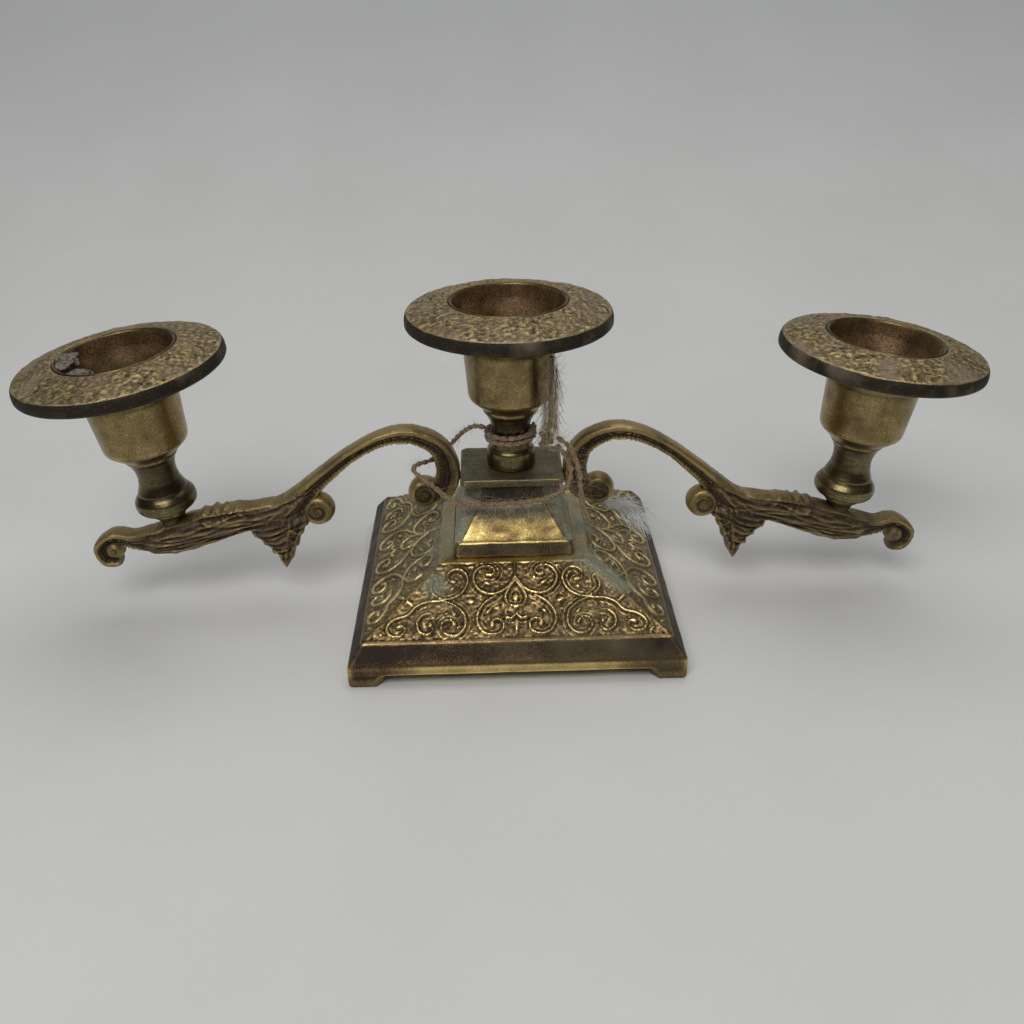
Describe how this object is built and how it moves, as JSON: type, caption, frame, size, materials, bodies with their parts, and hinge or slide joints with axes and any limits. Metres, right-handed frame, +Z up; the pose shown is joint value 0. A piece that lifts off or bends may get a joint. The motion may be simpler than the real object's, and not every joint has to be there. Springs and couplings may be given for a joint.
{
  "type": "tabletop candelabra",
  "caption": "Three-light tabletop candelabra: square footed base with raised scrollwork, two S-scroll arms, turned stems, candle cups and wide drip pans.",
  "frame": {"origin": "on the table, under the centre of the square base", "axes": "+Z up, +X along the arms towards the right-hand candle, -Y towards the front"},
  "size_m": [0.1955, 0.0682, 0.0689],
  "materials": {
    "cast_brass": "cast, aged, tarnished in the recesses and worn bright on the edges",
    "turned_brass": "turned, satin, aged",
    "crusted_brass": "turned ring with a rough dusty crust of old wax and tarnish",
    "steel": "plain steel, dulled",
    "twine": "brown jute, hairy"
  },
  "bodies": {
    "base": {"base_casting": "cast_brass", "pedestal": "cast_brass", "tie_rod": "steel", "base_washer": "steel", "base_nut": "steel"},
    "crosspiece": {"crosspiece_hub": "cast_brass", "left_arm": "cast_brass", "right_arm": "cast_brass", "left_arm_pin": "turned_brass", "right_arm_pin": "turned_brass", "centre_stem": "turned_brass", "left_stem": "turned_brass", "right_stem": "turned_brass", "twine_wrap": "twine", "twine_knot": "twine", "twine_loop": "twine", "twine_tail": "twine", "twine_strand": "twine"},
    "centre_holder": {"centre_cup": "turned_brass", "centre_drip_pan": "crusted_brass", "centre_cup_nut": "steel"},
    "left_holder": {"left_cup": "turned_brass", "left_drip_pan": "crusted_brass", "left_cup_screw": "steel"},
    "right_holder": {"right_cup": "turned_brass", "right_drip_pan": "crusted_brass", "right_cup_screw": "steel"}
  },
  "joints": [
    {"name": "crosspiece_swivel", "type": "hinge", "parent": "base", "child": "crosspiece", "pos_m": [0, 0, 0.0273], "axis": [0, 0, 1], "continuous": true},
    {"name": "centre_cup_turn", "type": "hinge", "parent": "crosspiece", "child": "centre_holder", "pos_m": [0, 0, 0.03265], "axis": [0, 0, 1], "continuous": true},
    {"name": "left_cup_turn", "type": "hinge", "parent": "crosspiece", "child": "left_holder", "pos_m": [-0.07408, -0.00176, 0.02519], "axis": [-0.1097, -0.0399, 0.9932], "continuous": true},
    {"name": "right_cup_turn", "type": "hinge", "parent": "crosspiece", "child": "right_holder", "pos_m": [0.07292, 0, 0.02321], "axis": [0.108, -0.0069, 0.9941], "continuous": true}
  ]
}
